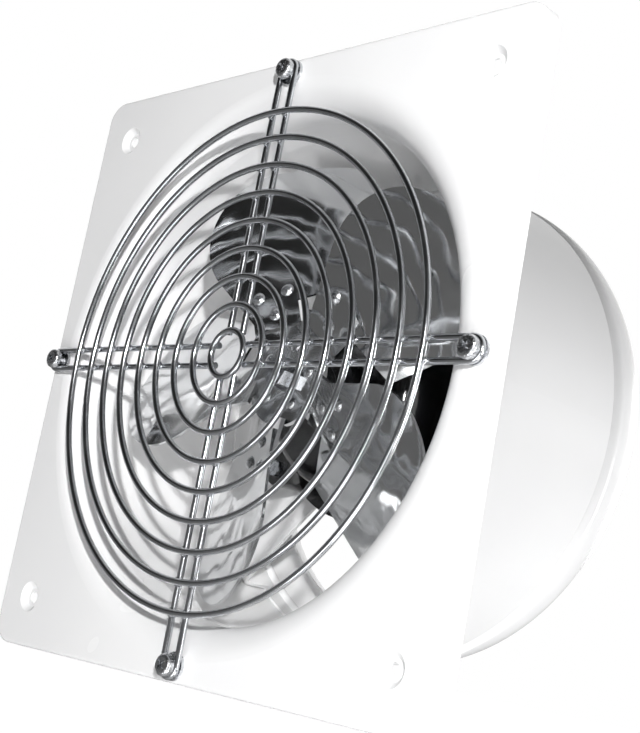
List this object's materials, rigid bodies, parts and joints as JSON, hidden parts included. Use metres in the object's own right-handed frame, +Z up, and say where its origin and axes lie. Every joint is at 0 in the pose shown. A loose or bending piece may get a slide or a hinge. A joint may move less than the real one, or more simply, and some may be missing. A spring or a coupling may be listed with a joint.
{
  "type": "wall exhaust fan",
  "caption": "Square wall plate with a bell-mouth and round duct sleeve, wire ring guard in front, bladed impeller on an enclosed motor carried by a cross bracket.",
  "frame": {"origin": "centre of the four wall holes, on the floor of their dimples", "axes": "+Y along the duct into the wall, +Z up, +X to the right seen from the front"},
  "size_m": [0.312, 0.1656, 0.312],
  "materials": {
    "white_paint": "smooth gloss white powder coat",
    "bright_wire": "bright chrome plate",
    "polished_metal": "polished bright sheet and machined metal",
    "black_paint": "gloss black enamel",
    "zinc_plate": "zinc plated steel",
    "lamination": "stacked electrical sheet, varnished",
    "copper": "enamelled copper wire",
    "black_plastic": "fine matt black moulding",
    "ivory_plastic": "ivory moulding"
  },
  "bodies": {
    "housing": {"wall_plate": "white_paint", "duct_sleeve": "white_paint", "duct_rim": "white_paint", "guard_ring_1": "bright_wire", "guard_ring_2": "bright_wire", "guard_ring_3": "bright_wire", "guard_ring_4": "bright_wire", "guard_ring_5": "bright_wire", "guard_ring_6": "bright_wire", "guard_ring_7": "bright_wire", "guard_ring_8": "bright_wire", "guard_ring_centre": "bright_wire", "guard_arm_right": "bright_wire", "guard_arm_top": "bright_wire", "guard_arm_left": "bright_wire", "guard_arm_bottom": "bright_wire", "guard_screws": "bright_wire", "guard_spacers": "bright_wire", "guard_nuts": "zinc_plate", "motor_bracket": "white_paint", "motor_front_shell": "black_paint", "motor_rear_shell": "black_paint", "stator_core": "lamination", "stator_windings": "copper", "front_bearing_outer": "polished_metal", "rear_bearing_outer": "polished_metal", "front_bearing_balls": "polished_metal", "rear_bearing_balls": "polished_metal", "wave_washer": "polished_metal", "motor_bolts": "bright_wire", "motor_nuts": "zinc_plate", "terminal_box": "black_plastic", "terminal_lid": "black_plastic", "terminal_lid_screws": "zinc_plate", "terminal_block": "ivory_plastic", "cable_gland": "black_plastic", "gland_locknut": "black_plastic"},
    "impeller": {"hub_spider": "polished_metal", "hub_boss": "polished_metal", "hub_rivets": "polished_metal", "blade_1": "polished_metal", "blade_2": "polished_metal", "blade_3": "polished_metal", "blade_4": "polished_metal", "blade_5": "polished_metal", "blade_rivets": "polished_metal", "set_screw": "zinc_plate", "shaft_washer": "polished_metal", "shaft_nut": "polished_metal", "motor_shaft": "polished_metal", "rotor_core": "lamination", "rotor_cage": "polished_metal", "front_bearing_inner": "polished_metal", "rear_bearing_inner": "polished_metal"}
  },
  "joints": [
    {"name": "impeller_spin", "type": "hinge", "parent": "housing", "child": "impeller", "pos_m": [0, 0, 0], "axis": [0, 1, 0], "continuous": true}
  ]
}
